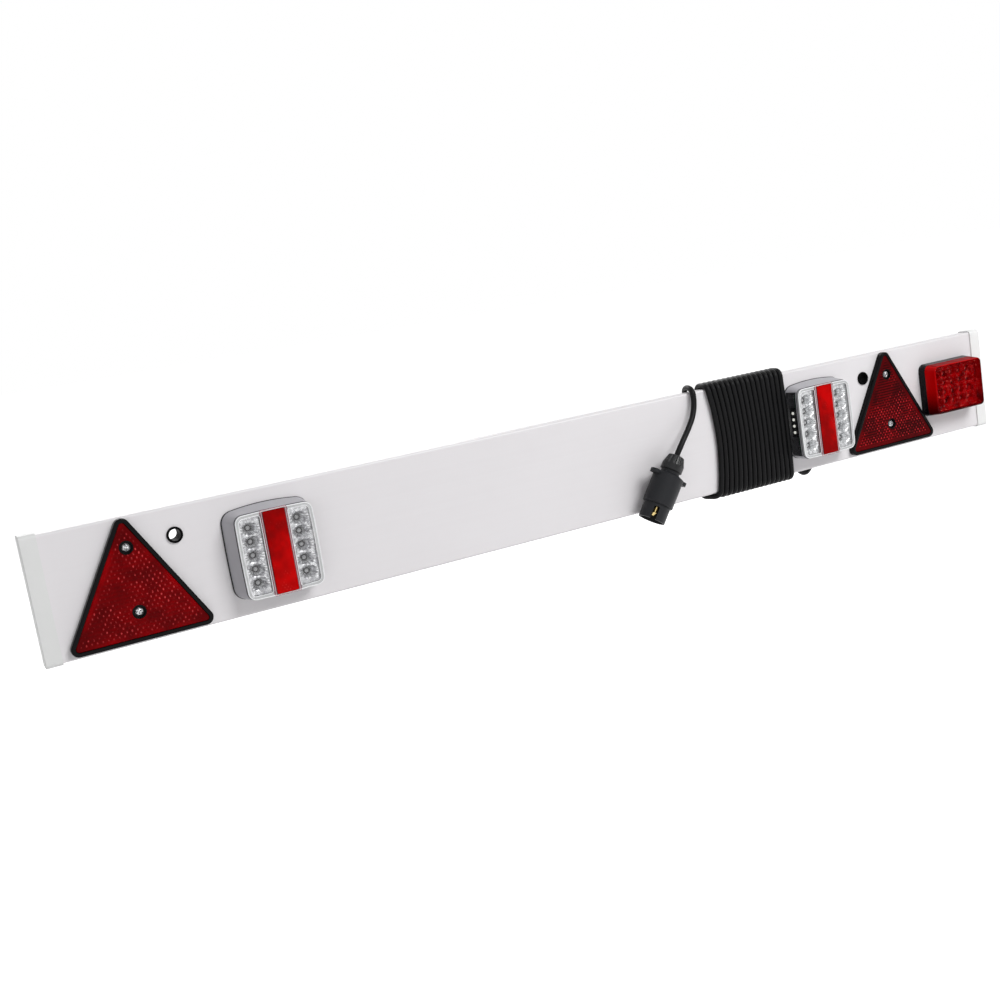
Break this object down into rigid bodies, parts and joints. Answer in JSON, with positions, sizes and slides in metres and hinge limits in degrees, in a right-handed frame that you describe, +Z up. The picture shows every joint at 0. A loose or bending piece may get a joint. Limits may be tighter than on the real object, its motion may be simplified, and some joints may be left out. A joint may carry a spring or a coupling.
{
  "type": "trailer lighting board",
  "caption": "Long hollow plastic board with LED rear lamps, red triangle reflectors, a fog lamp, and a black supply cable wound round it that ends in a round multi-pin plug.",
  "frame": {"origin": "midway between the two fixing holes, on the board's rear face", "axes": "+X along the board to the right seen from the lamp side, +Y out of the rear face, +Z up"},
  "size_m": [1.37, 0.0775, 0.1686],
  "materials": {
    "board_white": "satin extruded plastic",
    "cap_white": "satin moulded plastic",
    "bush_black": "moulded, semi-matt",
    "triangle_black": "gloss black",
    "triangle_red": "gloss reflex lens",
    "screw_steel": "bright zinc",
    "housing_grey": "satin moulded plastic",
    "lens_clear": "clear plastic",
    "window_clear": "clear plastic, dark inside",
    "reflector_chrome": "vacuum-metallised",
    "circuit_green": "solder mask",
    "circuit_black": "solder mask",
    "led_clear": "clear epoxy",
    "led_red": "clear epoxy behind a red lens",
    "strip_red": "gloss reflex lens",
    "bolt_steel": "zinc plated",
    "fog_black": "gloss black",
    "fog_red": "gloss translucent",
    "cable_black": "semi-matt sheath",
    "gland_black": "matt",
    "plug_black": "matt, fine grain",
    "carrier_black": "matt",
    "pin_brass": "turned"
  },
  "bodies": {
    "root": {"board_panel": "board_white", "left_end_cap": "cap_white", "right_end_cap": "cap_white", "left_fixing_bush": "bush_black", "right_fixing_bush": "bush_black", "fog_lamp_base": "fog_black", "fog_lamp_circuit_board": "circuit_green", "fog_lamp_leds": "led_red", "fog_lamp_lens": "fog_red", "fog_lamp_bolts": "bolt_steel", "fog_lamp_nuts": "bolt_steel", "cable_gland": "gland_black", "cable_lead_in": "cable_black", "cable_winding": "cable_black", "cable_tail": "cable_black", "plug_body": "plug_black", "plug_gland_nut": "plug_black", "plug_pin_carrier": "carrier_black", "plug_pins": "pin_brass", "left_triangle_base": "triangle_black", "left_triangle_lens": "triangle_red", "left_triangle_screws": "screw_steel", "left_lamp_housing": "housing_grey", "left_lamp_plate_window": "window_clear", "left_lamp_plate_circuit_board": "circuit_black", "left_lamp_plate_leds": "led_clear", "left_lamp_circuit_board": "circuit_green", "left_lamp_leds": "led_clear", "left_lamp_reflector": "reflector_chrome", "left_lamp_lens": "lens_clear", "left_lamp_reflex_strip": "strip_red", "left_lamp_bolts": "bolt_steel", "left_lamp_nuts": "bolt_steel", "right_triangle_base": "triangle_black", "right_triangle_lens": "triangle_red", "right_triangle_screws": "screw_steel", "right_lamp_housing": "housing_grey", "right_lamp_plate_window": "window_clear", "right_lamp_plate_circuit_board": "circuit_black", "right_lamp_plate_leds": "led_clear", "right_lamp_circuit_board": "circuit_green", "right_lamp_leds": "led_clear", "right_lamp_reflector": "reflector_chrome", "right_lamp_lens": "lens_clear", "right_lamp_reflex_strip": "strip_red", "right_lamp_bolts": "bolt_steel", "right_lamp_nuts": "bolt_steel"}
  },
  "joints": []
}
